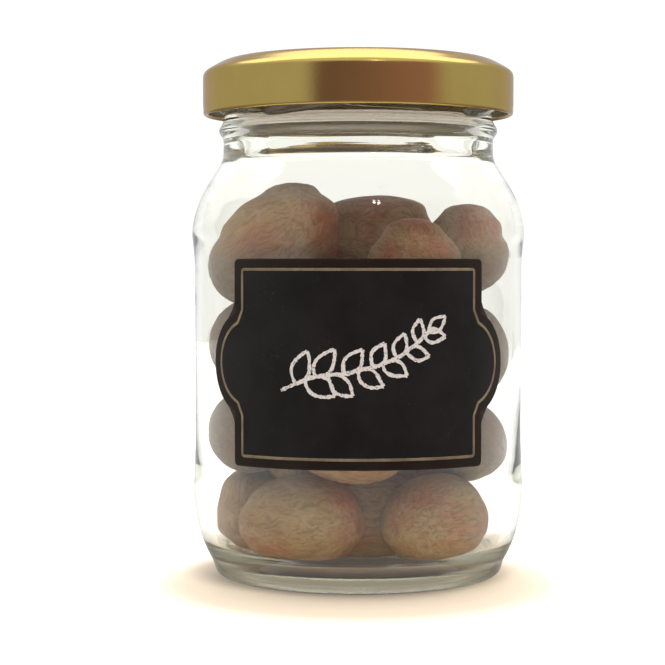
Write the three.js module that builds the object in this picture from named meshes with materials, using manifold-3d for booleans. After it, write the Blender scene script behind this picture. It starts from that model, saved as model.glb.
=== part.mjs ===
// A clear glass twist-off jar packed with whole nutmegs, shut with a gold tinplate lid,
// with a plaque-shaped paper label on its front. Millimetres, +Z up, the front faces -Y.
import * as THREE from "three";
import { mergeVertices } from "three/addons/utils/BufferGeometryUtils.js";
import Module from "manifold-3d";

const wasm = await Module();
wasm.setup();

// ---- driving dimensions ----

// Jar, as radius and height stations
const jarSides = 48;
const jarFoot = { innerRadius: 22.8, outerRadius: 24.6, pushUp: 1.9 };
const jarWaist = { radius: 26.45, height: 2.9 };
const jarPanel = { radius: 29.7, innerRadius: 28.1, bottom: 21.4, top: 57.6 };
const jarBulge = { lower: 30.05, lowerHeight: 16.8, upper: 30.2, upperHeight: 62 };
const jarNeck = { radius: 24.5, bottom: 76, top: 78.6 };
const jarBead = { radius: 25.5, bottom: 79.2, top: 82, rounding: 1.2 };
const jarMouth = { outerRadius: 24.4, innerRadius: 22.2, top: 91.2, rounding: 0.8 };
const jarFloor = { centreHeight: 3.5, edgeRadius: 17, edgeHeight: 3 };

// Twist-off thread: ridges that the lid's lugs run under
const thread = { count: 4, sweepDegrees: 78, startDegrees: -131, steps: 10 };
const threadRidge = { radius: 26.2, root: 23.6, halfWidth: 1.2, crestHalfWidth: 0.4 };
const threadClimb = { from: 83.4, to: 88.4 };

// Lid
const lidSides = 52;
const lidSheet = 0.45;
const lidSkirt = { radius: 28.2, bottom: 83.4, top: 90.6, curl: 0.55 };
const lidShoulder = { radius: 24.2, height: 93.3 };
const lidRim = { radius: 23.2, height: 93.5 };
const lidPanel = { radius: 21.4, height: 92.9 };
const lug = { count: 4, sweepDegrees: 14, startDegrees: -72, depth: 1.5, height: 1.3, steps: 4 };

// Label
const label = { width: 47, height: 35.6, centre: 39.7, corner: 1, thickness: 0.2 };
const labelTip = { arcCentre: 20, arcRadius: 9.2, arcDegrees: 56, shoulderHeight: 10.4 };
const labelGap = 0.3;
const labelSides = 112;
const arcSteps = 10;

// Nutmegs: where each one starts before the heap settles. Angles are degrees: around the jar
// from its front, turned from the wall's direction, and raised from level.
const nutmegSeats = [
  { around: -31.5, out: 18.6, height: 11.4, turn: 8, raise: 4, length: 22.5, width: 15.8, ease: 0.1 },
  { around: 44, out: 19.2, height: 11.2, turn: 4, raise: 4, length: 21.5, width: 15.6, ease: 0.1 },
  { around: -98, out: 20, height: 10.2, turn: 4, raise: -14, length: 21, width: 14.8, ease: 0.05 },
  { around: -163, out: 18, height: 12, turn: 0, raise: 0, length: 22, width: 16.5, ease: 1 },
  { around: 116, out: 14.5, height: 12, turn: 0, raise: -5, length: 21, width: 16, ease: 0.7 },
  { around: -92, out: 19.8, height: 24.8, turn: 14, raise: -6, length: 22, width: 15.6, ease: 0.1 },
  { around: -3, out: 18.6, height: 28.6, turn: 0, raise: 0, length: 21.5, width: 15.5, ease: 0.3 },
  { around: 86, out: 19.8, height: 24.2, turn: 6, raise: 0, length: 22, width: 15.6, ease: 0.1 },
  { around: 140, out: 17, height: 27, turn: 0, raise: 0, length: 23, width: 17, ease: 1 },
  { around: -155, out: 18, height: 27, turn: 0, raise: 0, length: 22, width: 16.5, ease: 1 },
  { around: -91, out: 20, height: 41, turn: 6, raise: 0, length: 23.5, width: 16.3, ease: 0.1 },
  { around: -25, out: 17.6, height: 44, turn: 0, raise: 10, length: 22, width: 16, ease: 1 },
  { around: 22, out: 17, height: 41, turn: 60, raise: 0, length: 21.5, width: 16, ease: 1 },
  { around: 86, out: 19.5, height: 40.8, turn: 0, raise: 28, length: 22, width: 16, ease: 0.1 },
  { around: 140, out: 18, height: 42, turn: 0, raise: 0, length: 23, width: 17, ease: 1 },
  { around: -145, out: 18, height: 42, turn: 0, raise: 0, length: 22, width: 16.5, ease: 1 },
  { around: -59, out: 17.3, height: 59.2, turn: 24, raise: 35, length: 27.2, width: 18.2, ease: 0.05 },
  { around: 40, out: 18.4, height: 57, turn: 62, raise: 8, length: 20.5, width: 16, ease: 0.1 },
  { around: 92, out: 20, height: 59.6, turn: 24, raise: 8, length: 21.5, width: 15.8, ease: 0.1 },
  { around: 144, out: 9.4, height: 61.6, turn: -144, raise: 0, length: 22, width: 17, ease: 0.1 },
  { around: -140, out: 17, height: 57, turn: 0, raise: 0, length: 22, width: 17, ease: 1 },
];
const settling = { gap: 0.4, sinkingRounds: 160, restingRounds: 200, sink: 0.03, push: 0.7 };
const ballPlaces = [0, 0.25, 0.5, 0.75, 1];
const nutmegFineness = 2;
const core = { radius: 15, bottom: 10, top: 58, rounding: 6, sides: 16 };

const mergeDistance = 1e-4;

// ---- solids ----

// Merges a geometry's vertices and drops the triangles that the merge leaves with no area.
function closedSolid(geometry) {
  const bare = new THREE.BufferGeometry();
  bare.setAttribute("position", geometry.getAttribute("position"));
  bare.setIndex(geometry.getIndex());
  const merged = mergeVertices(bare, mergeDistance);
  const corners = merged.getIndex().array;
  const kept = [];
  for (let i = 0; i < corners.length; i += 3) {
    const [a, b, c] = corners.slice(i, i + 3);
    if (a !== b && b !== c && c !== a) kept.push(a, b, c);
  }
  const mesh = new wasm.Mesh({
    numProp: 3,
    vertProperties: Float32Array.from(merged.getAttribute("position").array),
    triVerts: Uint32Array.from(kept),
  });
  return new wasm.Manifold(mesh);
}

function solidGeometry(solid) {
  const mesh = solid.getMesh();
  const geometry = new THREE.BufferGeometry();
  geometry.setAttribute("position", new THREE.BufferAttribute(mesh.vertProperties, 3));
  geometry.setIndex(new THREE.BufferAttribute(mesh.triVerts, 1));
  geometry.computeVertexNormals();
  return geometry;
}

// The largest of a solid's separate bodies, without sealed hollows or loose scraps.
function mainBody(solid) {
  return solid.decompose().sort((a, b) => b.volume() - a.volume())[0];
}

// Turns a profile of [radius, height] points about the Z axis.
function turned(profile, sides) {
  const points = profile.map(([radius, height]) => new THREE.Vector2(radius, height));
  return new THREE.LatheGeometry(points, sides).rotateX(Math.PI / 2);
}

// A smooth curve through a few [radius, height] stations.
function smooth(stations, steps) {
  const points = stations.map(([radius, height]) => new THREE.Vector2(radius, height));
  return new THREE.SplineCurve(points).getPoints(steps).map((point) => [point.x, point.y]);
}

function arc(centre, radius, fromDegrees, toDegrees, steps) {
  const points = [];
  for (let i = 0; i <= steps; i += 1) {
    const angle = THREE.MathUtils.degToRad(THREE.MathUtils.lerp(fromDegrees, toDegrees, i / steps));
    points.push([centre[0] + radius * Math.cos(angle), centre[1] + radius * Math.sin(angle)]);
  }
  return points;
}

// A closed solid through a row of sections, each a ring of points that runs clockwise
// as seen from the row's end.
function swept(sections) {
  const count = sections[0].length;
  const positions = sections.flat().flatMap((point) => [point.x, point.y, point.z]);
  const corners = [];
  for (let row = 0; row + 1 < sections.length; row += 1) {
    for (let i = 0; i < count; i += 1) {
      const next = (i + 1) % count;
      const [a, b] = [row * count + i, row * count + next];
      corners.push(a, b + count, b, a, a + count, b + count);
    }
  }
  const last = (sections.length - 1) * count;
  for (let i = 1; i + 1 < count; i += 1) {
    corners.push(0, i, i + 1);
    corners.push(last, last + i + 1, last + i);
  }
  const geometry = new THREE.BufferGeometry();
  geometry.setAttribute("position", new THREE.Float32BufferAttribute(positions, 3));
  geometry.setIndex(corners);
  return geometry;
}

// A four-cornered rib that runs around the Z axis; ribAt gives its shape at 0 to 1 along it.
function ribAround(startDegrees, sweepDegrees, steps, ribAt) {
  const sections = [];
  for (let i = 0; i <= steps; i += 1) {
    const along = i / steps;
    const angle = THREE.MathUtils.degToRad(startDegrees + sweepDegrees * along);
    sections.push(ribAt(along).map(([radius, height]) => (
      new THREE.Vector3(radius * Math.cos(angle), radius * Math.sin(angle), height)
    )));
  }
  return swept(sections);
}

// ---- jar ----

function jarOutside() {
  const { radius, bottom, top } = jarPanel;
  const crown = [24.8, 75];
  return [
    ...smooth([[0, jarFoot.pushUp], [14, 1.65], [19.8, 1.05], [jarFoot.innerRadius, 0]], 3),
    [jarFoot.outerRadius, 0],
    [25.6, 0.5],
    [26.3, 1.5],
    [jarWaist.radius, 2.5],
    [jarWaist.radius, jarWaist.height],
    ...smooth([[27.4, 4.3], [28.8, 7.8], [29.7, 12.2], [jarBulge.lower, jarBulge.lowerHeight]], 4),
    [29.9, 19.3],
    [radius, bottom],
    [radius, (bottom + top) / 2],
    [radius, top],
    [29.95, 59.6],
    ...smooth([
      [jarBulge.upper, jarBulge.upperHeight],
      [30, 64.2],
      [29.35, 66.6],
      [28.6, 68.7],
      [27.2, 71.2],
      crown,
    ], 6),
    [jarNeck.radius, jarNeck.bottom],
    [jarNeck.radius, jarNeck.top],
    [jarBead.radius - jarBead.rounding, jarBead.bottom],
    [jarBead.radius, jarBead.bottom + jarBead.rounding],
    [jarBead.radius, jarBead.top - jarBead.rounding],
    [jarMouth.outerRadius, jarBead.top],
  ];
}

function jarInside() {
  const { innerRadius, bottom, top } = jarPanel;
  const { centreHeight, edgeRadius, edgeHeight } = jarFloor;
  return [
    [jarMouth.innerRadius, jarNeck.top],
    ...smooth([[22.5, 76.2], [24.3, 72.8], [26.5, 69.2], [27.9, 65.4], [28.5, 61.2], [28.4, 58.8]], 6),
    [innerRadius, top - 1.2],
    [innerRadius, bottom],
    ...smooth([[27.8, 13], [27.1, 8.6], [25.6, 5.6], [22.6, 3.7], [edgeRadius, edgeHeight]], 5),
    [0, centreHeight],
  ];
}

function jarRim() {
  const { outerRadius, innerRadius, top, rounding } = jarMouth;
  return [
    ...arc([outerRadius - rounding, top - rounding], rounding, 0, 90, 2),
    ...arc([innerRadius + rounding, top - rounding], rounding, 90, 180, 2),
  ];
}

// A ridge that rises out of the finish, climbs round it and fades out at both ends.
function threadRidgeAt(along) {
  const fade = Math.min(1, Math.sin(Math.PI * along) * 2.5);
  const middle = THREE.MathUtils.lerp(threadClimb.from, threadClimb.to, along);
  const crest = THREE.MathUtils.lerp(threadRidge.root + 0.2, threadRidge.radius, fade);
  return [
    [threadRidge.root, middle + threadRidge.halfWidth],
    [threadRidge.root, middle - threadRidge.halfWidth],
    [crest, middle - threadRidge.crestHalfWidth],
    [crest, middle + threadRidge.crestHalfWidth],
  ];
}

function jarGeometry() {
  const profile = [...jarOutside(), ...jarRim(), ...jarInside()];
  let jar = closedSolid(turned(profile, jarSides));
  for (let i = 0; i < thread.count; i += 1) {
    const start = thread.startDegrees + (360 / thread.count) * i;
    const ridge = ribAround(start, thread.sweepDegrees, thread.steps, threadRidgeAt);
    jar = jar.add(closedSolid(ridge));
  }
  return solidGeometry(jar);
}

// ---- lid ----

function lidInside() {
  const { radius, bottom, top, curl } = lidSkirt;
  return [
    [0, lidPanel.height - lidSheet],
    [lidPanel.radius + 0.2, lidPanel.height - lidSheet],
    [lidRim.radius - 0.6, lidRim.height - lidSheet],
    [lidShoulder.radius - 0.3, lidShoulder.height - lidSheet],
    [25.1, 92.35],
    [26.5, 91.6],
    [27.5, 90.9],
    [radius - lidSheet, top - 0.2],
    [radius - lidSheet, bottom + curl * 2],
    [radius - curl * 2, bottom + curl * 1.6],
  ];
}

function lidOutside() {
  const { radius, bottom, top, curl } = lidSkirt;
  const shoulder = [lidShoulder.radius, lidShoulder.height];
  return [
    ...arc([radius - curl, bottom + curl], curl, -180, 0, 5),
    ...smooth([[radius, top], [27.85, 91.35], [26.7, 92.05], [25.3, 92.85], shoulder], 6),
    [lidRim.radius + 0.6, lidRim.height - 0.1],
    [lidRim.radius, lidRim.height],
    [lidPanel.radius + 0.7, lidRim.height],
    [lidPanel.radius, lidPanel.height],
    [0, lidPanel.height],
  ];
}

// A lug pressed inwards from the curl, low in the middle of its run and flush at its ends.
function lugAt(along) {
  const reach = lug.depth * Math.min(1, Math.sin(Math.PI * along) * 1.6);
  const wall = lidSkirt.radius - lidSheet / 2;
  const edge = lidSkirt.radius - lidSkirt.curl * 2 + 0.2 - reach;
  const bottom = lidSkirt.bottom + lidSheet;
  return [
    [edge, bottom + lug.height],
    [edge, bottom + 0.3],
    [wall, bottom],
    [wall, bottom + lug.height + 0.2],
  ];
}

function lidGeometry() {
  let lid = closedSolid(turned([...lidInside(), ...lidOutside()], lidSides));
  for (let i = 0; i < lug.count; i += 1) {
    const start = lug.startDegrees + (360 / lug.count) * i;
    lid = lid.add(closedSolid(ribAround(start, lug.sweepDegrees, lug.steps, lugAt)));
  }
  return solidGeometry(lid);
}

// ---- label ----

// The right half of the plaque, bottom to top, as distance along the glass and height.
function plaqueSide() {
  const side = label.width / 2;
  const edge = label.height / 2;
  const { arcCentre, arcRadius, arcDegrees, shoulderHeight } = labelTip;
  const tip = arc([arcCentre, 0], arcRadius, -arcDegrees, arcDegrees, arcSteps);
  return [
    ...arc([side - label.corner, label.corner - edge], label.corner, -90, 0, 3),
    [side, -shoulderHeight],
    [side + 0.6, -9],
    ...tip,
    [side + 0.6, 9],
    [side, shoulderHeight],
    ...arc([side - label.corner, edge - label.corner], label.corner, 0, 90, 3),
  ];
}

// The plaque's outline as seen straight from the front of the round wall.
function plaqueShape(radius) {
  const right = plaqueSide();
  const left = right.map(([across, up]) => [-across, up]).reverse();
  const outline = [...right, ...left].map(([across, up]) => (
    new THREE.Vector2(radius * Math.sin(across / radius), up)
  ));
  return new THREE.Shape(outline);
}

function labelGeometry() {
  const inner = jarPanel.radius + labelGap;
  const outer = inner + label.thickness;
  const reach = outer + 5;
  const low = label.centre - label.height;
  const high = label.centre + label.height;
  const sleeve = turned([[inner, low], [outer, low], [outer, high], [inner, high], [inner, low]], labelSides);
  const plaque = new THREE.ExtrudeGeometry(plaqueShape(outer), { depth: reach, bevelEnabled: false });
  plaque.rotateX(Math.PI / 2);
  plaque.translate(0, 0, label.centre);
  return solidGeometry(closedSolid(sleeve).intersect(closedSolid(plaque)));
}

// ---- nutmegs ----

// A nutmeg is a long egg, held as the two ends of a row of balls that just fill it.
function seatedNutmeg({ around, out, height, turn, raise, length, width, ease }) {
  const place = THREE.MathUtils.degToRad(around);
  const heading = THREE.MathUtils.degToRad(around + turn);
  const slope = THREE.MathUtils.degToRad(raise);
  const centre = new THREE.Vector3(out * Math.sin(place), -out * Math.cos(place), height);
  const axis = new THREE.Vector3(
    Math.cos(heading) * Math.cos(slope),
    Math.sin(heading) * Math.cos(slope),
    Math.sin(slope),
  );
  const longHalf = length / 2;
  const shortHalf = width / 2;
  const reach = longHalf - (shortHalf * shortHalf) / longHalf;
  const focus = longHalf * longHalf - shortHalf * shortHalf;
  return {
    start: centre.clone().addScaledVector(axis, -reach),
    end: centre.clone().addScaledVector(axis, reach),
    balls: ballPlaces.map((t) => shortHalf * Math.sqrt(1 - ((2 * t - 1) * reach) ** 2 / focus)),
    longHalf,
    shortHalf,
    reach,
    ease,
  };
}

function pointOn(nutmeg, t) {
  return nutmeg.start.clone().lerp(nutmeg.end, t);
}

// Moves the point at t by the given step, shared out between the two ends.
function nudge(nutmeg, t, step) {
  const share = (1 - t) ** 2 + t ** 2;
  nutmeg.start.addScaledVector(step, (1 - t) / share);
  nutmeg.end.addScaledVector(step, t / share);
}

function pushApart(one, other) {
  const reach = one.longHalf + other.longHalf + settling.gap;
  if (pointOn(one, 0.5).distanceTo(pointOn(other, 0.5)) > reach) return;
  const ease = one.ease + other.ease;
  ballPlaces.forEach((t, i) => {
    ballPlaces.forEach((u, j) => {
      const between = pointOn(other, u).sub(pointOn(one, t));
      const overlap = one.balls[i] + other.balls[j] + settling.gap - between.length();
      if (overlap <= 0) return;
      between.setLength(overlap * settling.push);
      nudge(one, t, between.clone().multiplyScalar(-one.ease / ease));
      nudge(other, u, between.clone().multiplyScalar(other.ease / ease));
    });
  });
}

// The point of the jar's inner wall that is nearest to a radius and height.
function nearestOnWall(wall, radius, height) {
  const spot = new THREE.Vector3(radius, height, 0);
  let best = null;
  for (let i = 0; i + 1 < wall.length; i += 1) {
    const point = new THREE.Line3(wall[i], wall[i + 1]).closestPointToPoint(spot, true, new THREE.Vector3());
    if (!best || point.distanceTo(spot) < best.distanceTo(spot)) best = point;
  }
  return best;
}

function pushOffWall(nutmeg, wall) {
  ballPlaces.forEach((t, i) => {
    const centre = pointOn(nutmeg, t);
    const radius = Math.hypot(centre.x, centre.y);
    const nearest = nearestOnWall(wall, radius, centre.z);
    const off = new THREE.Vector2(radius - nearest.x, centre.z - nearest.y);
    const overlap = nutmeg.balls[i] + settling.gap - off.length();
    if (overlap <= 0) return;
    off.setLength(overlap);
    const step = new THREE.Vector3(centre.x, centre.y, 0).setLength(Math.abs(off.x));
    step.multiplyScalar(Math.sign(off.x)).setZ(off.y);
    nudge(nutmeg, t, step);
  });
}

function keepLength(nutmeg) {
  const span = nutmeg.end.clone().sub(nutmeg.start);
  const excess = (span.length() - 2 * nutmeg.reach) / 2;
  span.setLength(excess);
  nutmeg.start.add(span);
  nutmeg.end.sub(span);
}

// Lets the nutmegs sink, part and come to rest against each other and the glass.
function settledNutmegs() {
  const nutmegs = nutmegSeats.map(seatedNutmeg);
  const wall = jarInside().map(([radius, height]) => new THREE.Vector3(radius, height, 0));
  const rounds = settling.sinkingRounds + settling.restingRounds;
  for (let round = 0; round < rounds; round += 1) {
    const sink = round < settling.sinkingRounds ? settling.sink : 0;
    nutmegs.forEach((one) => nudge(one, 0.5, new THREE.Vector3(0, 0, -sink * one.ease)));
    nutmegs.forEach((one, i) => nutmegs.slice(i + 1).forEach((other) => pushApart(one, other)));
    nutmegs.forEach((one) => {
      pushOffWall(one, wall);
      keepLength(one);
    });
  }
  return nutmegs;
}

function nutmegGeometry(nutmeg) {
  const axis = nutmeg.end.clone().sub(nutmeg.start).normalize();
  const lean = new THREE.Quaternion().setFromUnitVectors(new THREE.Vector3(0, 0, 1), axis);
  return new THREE.IcosahedronGeometry(1, nutmegFineness)
    .scale(nutmeg.shortHalf, nutmeg.shortHalf, nutmeg.longHalf)
    .applyQuaternion(lean)
    .translate(...pointOn(nutmeg, 0.5).toArray());
}

// The middle of the heap, which its outer nutmegs sink into.
function coreGeometry() {
  const { radius, bottom, top, rounding, sides } = core;
  const profile = [
    [0, bottom],
    ...arc([radius - rounding, bottom + rounding], rounding, -90, 0, 3),
    ...arc([radius - rounding, top - rounding], rounding, 0, 90, 3),
    [0, top],
  ];
  return turned(profile, sides);
}

function heapGeometry() {
  let heap = closedSolid(coreGeometry());
  settledNutmegs().forEach((nutmeg) => {
    heap = heap.add(closedSolid(nutmegGeometry(nutmeg)));
  });
  return solidGeometry(mainBody(heap));
}

// ---- object ----

const glass = { color: 0xe8efe6, roughness: 0.03, metalness: 0, transparent: true, opacity: 0.35 };
const goldLacquer = { color: 0xb59a4e, roughness: 0.3, metalness: 0.9 };
const chalkboardPaper = { color: 0x26231f, roughness: 0.75, metalness: 0 };
const nutmegShell = { color: 0x8a6d52, roughness: 0.7, metalness: 0 };

function piece(name, geometry, look) {
  const mesh = new THREE.Mesh(geometry, new THREE.MeshStandardMaterial(look));
  mesh.name = name;
  return mesh;
}

const jarOfNutmegs = new THREE.Group();
jarOfNutmegs.add(
  piece("jar", jarGeometry(), glass),
  piece("lid", lidGeometry(), goldLacquer),
  piece("label", labelGeometry(), chalkboardPaper),
  piece("nutmegs", heapGeometry(), nutmegShell),
);

export default jarOfNutmegs;
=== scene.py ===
import math

import bmesh
import bpy
import numpy as np
from mathutils import Matrix, Vector, noise


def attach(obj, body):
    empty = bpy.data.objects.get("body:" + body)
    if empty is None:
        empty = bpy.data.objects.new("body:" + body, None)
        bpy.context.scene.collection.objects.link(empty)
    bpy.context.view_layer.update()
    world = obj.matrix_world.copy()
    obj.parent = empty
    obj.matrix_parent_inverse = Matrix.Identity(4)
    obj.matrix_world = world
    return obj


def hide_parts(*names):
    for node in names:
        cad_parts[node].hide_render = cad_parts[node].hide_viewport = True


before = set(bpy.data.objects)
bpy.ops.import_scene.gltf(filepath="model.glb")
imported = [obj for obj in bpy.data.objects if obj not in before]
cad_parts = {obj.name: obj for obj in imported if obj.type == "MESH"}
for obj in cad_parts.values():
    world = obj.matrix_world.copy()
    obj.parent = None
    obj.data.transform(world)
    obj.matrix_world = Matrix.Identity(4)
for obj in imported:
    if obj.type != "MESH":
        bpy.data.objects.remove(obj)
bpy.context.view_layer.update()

mm = 0.001
black = (0.0, 0.0, 0.0, 1)
scene = bpy.context.scene
scene.view_settings.view_transform = "Standard"
scene.cycles.max_bounces = 24
scene.cycles.glossy_bounces = 16
scene.cycles.transmission_bounces = 24
scene.cycles.transparent_max_bounces = 24
print("frame loaded:", sorted(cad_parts))


def linkObject(name, mesh, material=None):
    piece = bpy.data.objects.new(name, mesh)
    scene.collection.objects.link(piece)
    if material:
        mesh.materials.append(material)
    return piece


def newMesh(name, vertices, edges, faces):
    mesh = bpy.data.meshes.new(name)
    mesh.from_pydata(vertices, edges, faces)
    return mesh


def addAttribute(mesh, name, values):
    # one number or one vector for each vertex
    values = np.array(values, np.float32)
    kind, field = ("FLOAT", "value") if values.ndim == 1 else ("FLOAT_VECTOR", "vector")
    mesh.attributes.new(name, kind, "POINT").data.foreach_set(field, values.ravel())


def smoothCurve(stations, steps):
    # the same curve through a few stations that the solids use
    last = len(stations) - 1
    points = []
    for i in range(steps + 1):
        place = i / steps * last
        left = min(int(place), last - 1)
        t = place - left
        ends = [stations[min(max(k, 0), last)] for k in range(left - 1, left + 3)]
        point = []
        for a, b, c, d in zip(*ends):
            startSlope, endSlope = (c - a) / 2, (d - b) / 2
            cubic = (2 * b - 2 * c + startSlope + endSlope) * t ** 3
            square = (-3 * b + 3 * c - 2 * startSlope - endSlope) * t ** 2
            point.append(cubic + square + startSlope * t + b)
        points.append(tuple(point))
    return points


def arcPoints(centre, radius, fromDegrees, toDegrees, steps):
    points = []
    for i in range(steps + 1):
        angle = math.radians(fromDegrees + (toDegrees - fromDegrees) * i / steps)
        points.append((centre[0] + radius * math.cos(angle), centre[1] + radius * math.sin(angle)))
    return points


def softened(profile, spacing, passes):
    # spreads points evenly along a profile and rounds its corners, keeping both ends
    line = np.array(profile, float)
    steps = np.linalg.norm(np.diff(line, axis=0), axis=1)
    along = np.concatenate([[0], np.cumsum(steps)])
    count = int(along[-1] / spacing)
    places = np.linspace(0, along[-1], count + 1)
    points = np.stack([np.interp(places, along, line[:, k]) for k in range(2)], axis=1)
    for _ in range(passes):
        points[1:-1] = points[1:-1] * 0.5 + (points[:-2] + points[2:]) * 0.25
    return points


def facesBetween(low, high):
    # quads between two rings of corner numbers, or triangles where a ring is one point
    faces = []
    for k in range(len(low)):
        n = (k + 1) % len(low)
        corners = [low[k], low[n], high[n], high[k]]
        faces.append([corner for i, corner in enumerate(corners) if corner != corners[i - 1]])
    return faces


def turnedMesh(name, profile, sides, bulge=None):
    # turns [radius, height] points about Z; bulge(angle, radius, height, row) adds to the radius
    angles = [2 * math.pi * k / sides for k in range(sides)]
    vertices, rings, faces = [], [], []
    for row, (radius, height) in enumerate(profile):
        start = len(vertices)
        if abs(radius) < 1e-6:
            vertices.append((0, 0, height * mm))
            rings.append([start] * sides)
            continue
        for angle in angles:
            r = radius + (bulge(angle, radius, height, row) if bulge else 0)
            vertices.append((r * mm * math.cos(angle), r * mm * math.sin(angle), height * mm))
        rings.append(list(range(start, start + sides)))
    for low, high in zip(rings, rings[1:]):
        faces += facesBetween(low, high)
    mesh = newMesh(name, vertices, [], faces)
    mesh.shade_smooth()
    mesh.validate()
    return mesh


def addNode(tree, kind, values=None, **settings):
    # a node with its settings, and its inputs set to values or linked to sockets
    node = tree.nodes.new(kind)
    for key, value in settings.items():
        setattr(node, key, value)
    for key, value in (values or {}).items():
        if isinstance(value, bpy.types.NodeSocket):
            tree.links.new(value, node.inputs[key])
        else:
            node.inputs[key].default_value = value
    return node


def maths(tree, operation, *operands):
    values = {i: value for i, value in enumerate(operands)}
    return addNode(tree, "ShaderNodeMath", values, operation=operation).outputs[0]


def times(tree, first, second):
    return maths(tree, "MULTIPLY", first, second)


def vectorMaths(tree, operation, *operands):
    values = {i: value for i, value in enumerate(operands)}
    return addNode(tree, "ShaderNodeVectorMath", values, operation=operation).outputs[0]


def mixColours(tree, share, first, second):
    return addNode(tree, "ShaderNodeMix", {0: share, 6: first, 7: second}, data_type="RGBA").outputs[2]


def ramp(tree, value, low, high, toLow=0.0, toHigh=1.0, kind="SMOOTHSTEP"):
    values = {"Value": value, "From Min": low, "From Max": high, "To Min": toLow, "To Max": toHigh}
    return addNode(tree, "ShaderNodeMapRange", values, interpolation_type=kind).outputs["Result"]


def rampMm(tree, value, ends, toLow=0.0, toHigh=1.0):
    return ramp(tree, value, ends[0] * mm, ends[1] * mm, toLow, toHigh)


def grain(tree, place, scale, detail, roughness=0.5, distortion=0.0, output="Fac"):
    return addNode(tree, "ShaderNodeTexNoise", {
        "Vector": place, "Scale": scale, "Detail": detail, "Roughness": roughness,
        "Distortion": distortion}).outputs[output]


def bumpNormal(tree, strength, distance, height):
    values = {"Strength": strength, "Distance": distance, "Height": height}
    return addNode(tree, "ShaderNodeBump", values).outputs["Normal"]


def objectPlace(tree):
    return addNode(tree, "ShaderNodeTexCoord").outputs["Object"]


def splitPlace(tree, place):
    return addNode(tree, "ShaderNodeSeparateXYZ", {0: place}).outputs


def lengthOf(tree, place):
    return addNode(tree, "ShaderNodeVectorMath", {0: place}, operation="LENGTH").outputs["Value"]


def newGroup(name, kind, inputs, outputs):
    # an input is given by its first number, or by its kind where it has none
    tree = bpy.data.node_groups.new(name, kind)
    for label, value in inputs.items():
        socketKind = value if isinstance(value, str) else type(value).__name__.capitalize()
        socket = tree.interface.new_socket(label, in_out="INPUT", socket_type="NodeSocket" + socketKind)
        if socketKind != value:
            socket.default_value = value
    for label, socketKind in outputs.items():
        tree.interface.new_socket(label, in_out="OUTPUT", socket_type="NodeSocket" + socketKind)
    return tree, addNode(tree, "NodeGroupInput").outputs, addNode(tree, "NodeGroupOutput").inputs


def groupValue(tree, group, values):
    # the one value that a shared effect puts out
    return addNode(tree, "ShaderNodeGroup", values, node_tree=group).outputs[0]


def newMaterial(name):
    material = bpy.data.materials.new(name)
    material.use_nodes = True
    tree = material.node_tree
    tree.nodes.clear()
    return material, tree


def finished(material, surface, volume=None):
    output = addNode(material.node_tree, "ShaderNodeOutputMaterial", {"Surface": surface})
    if volume:
        material.node_tree.links.new(volume, output.inputs["Volume"])
    return material


def finishedPlain(material, values):
    # for a material that is one Principled shader
    shader = addNode(material.node_tree, "ShaderNodeBsdfPrincipled", values)
    return finished(material, shader.outputs[0])


def geometryStep(tree, kind, values=None, **settings):
    return addNode(tree, "GeometryNode" + kind, values, **settings).outputs[0]


def usedOutput(node):
    # the output that goes with the node's own data type
    return next(socket for socket in node.outputs if socket.enabled)


def finishGeometry(tree, geometry, material, end):
    smooth = geometryStep(tree, "SetShadeSmooth", {"Geometry": geometry})
    tree.links.new(geometryStep(tree, "SetMaterial", {"Geometry": smooth, "Material": material}), end)


def socketId(tree, label):
    return next(item.identifier for item in tree.interface.items_tree if item.name == label)


def runNodes(piece, tree, values):
    # runs a geometry tree on a piece and keeps the result as its plain mesh
    modifier = piece.modifiers.new(tree.name, "NODES")
    modifier.node_group = tree
    for label, value in values.items():
        modifier[socketId(tree, label)] = value
    depsgraph = bpy.context.evaluated_depsgraph_get()
    made = bpy.data.meshes.new_from_object(
        piece.evaluated_get(depsgraph), preserve_all_data_layers=True, depsgraph=depsgraph)
    piece.modifiers.remove(modifier)
    piece.data = made
    made.name = piece.name


def makeMottle():
    # soft uneven patches between two values
    tree, given, result = newGroup("mottle", "ShaderNodeTree", {
        "Place": "Vector", "Scale": 60.0, "Detail": 3.0, "Low": 0.0, "High": 1.0}, {"Value": "Float"})
    patches = grain(tree, given["Place"], given["Scale"], given["Detail"], 0.55)
    tree.links.new(ramp(tree, patches, 0.3, 0.7, given["Low"], given["High"]), result["Value"])
    return tree


def makeFleck():
    # sparse small specks, such as dust or chalk crumbs
    tree, given, result = newGroup("fleck", "ShaderNodeTree", {
        "Place": "Vector", "Scale": 900.0, "Size": 0.12}, {"Mask": "Float"})
    cells = addNode(tree, "ShaderNodeTexVoronoi", {"Vector": given["Place"], "Scale": given["Scale"]})
    near = ramp(tree, cells.outputs["Distance"], 0.0, given["Size"], 1.0, 0.0)
    some = ramp(tree, grain(tree, given["Place"], 160.0, 2.0), 0.5, 0.65)
    tree.links.new(times(tree, near, some), result["Mask"])
    return tree


mottle = makeMottle()
fleck = makeFleck()


def mottled(tree, place, scale, detail=3.0, low=0.0, high=1.0):
    return groupValue(tree, mottle, {
        "Place": place, "Scale": scale, "Detail": detail, "Low": low, "High": high})


def flecked(tree, place, scale, size):
    return groupValue(tree, fleck, {"Place": place, "Scale": scale, "Size": size})


print("shared effects ready")


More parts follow.
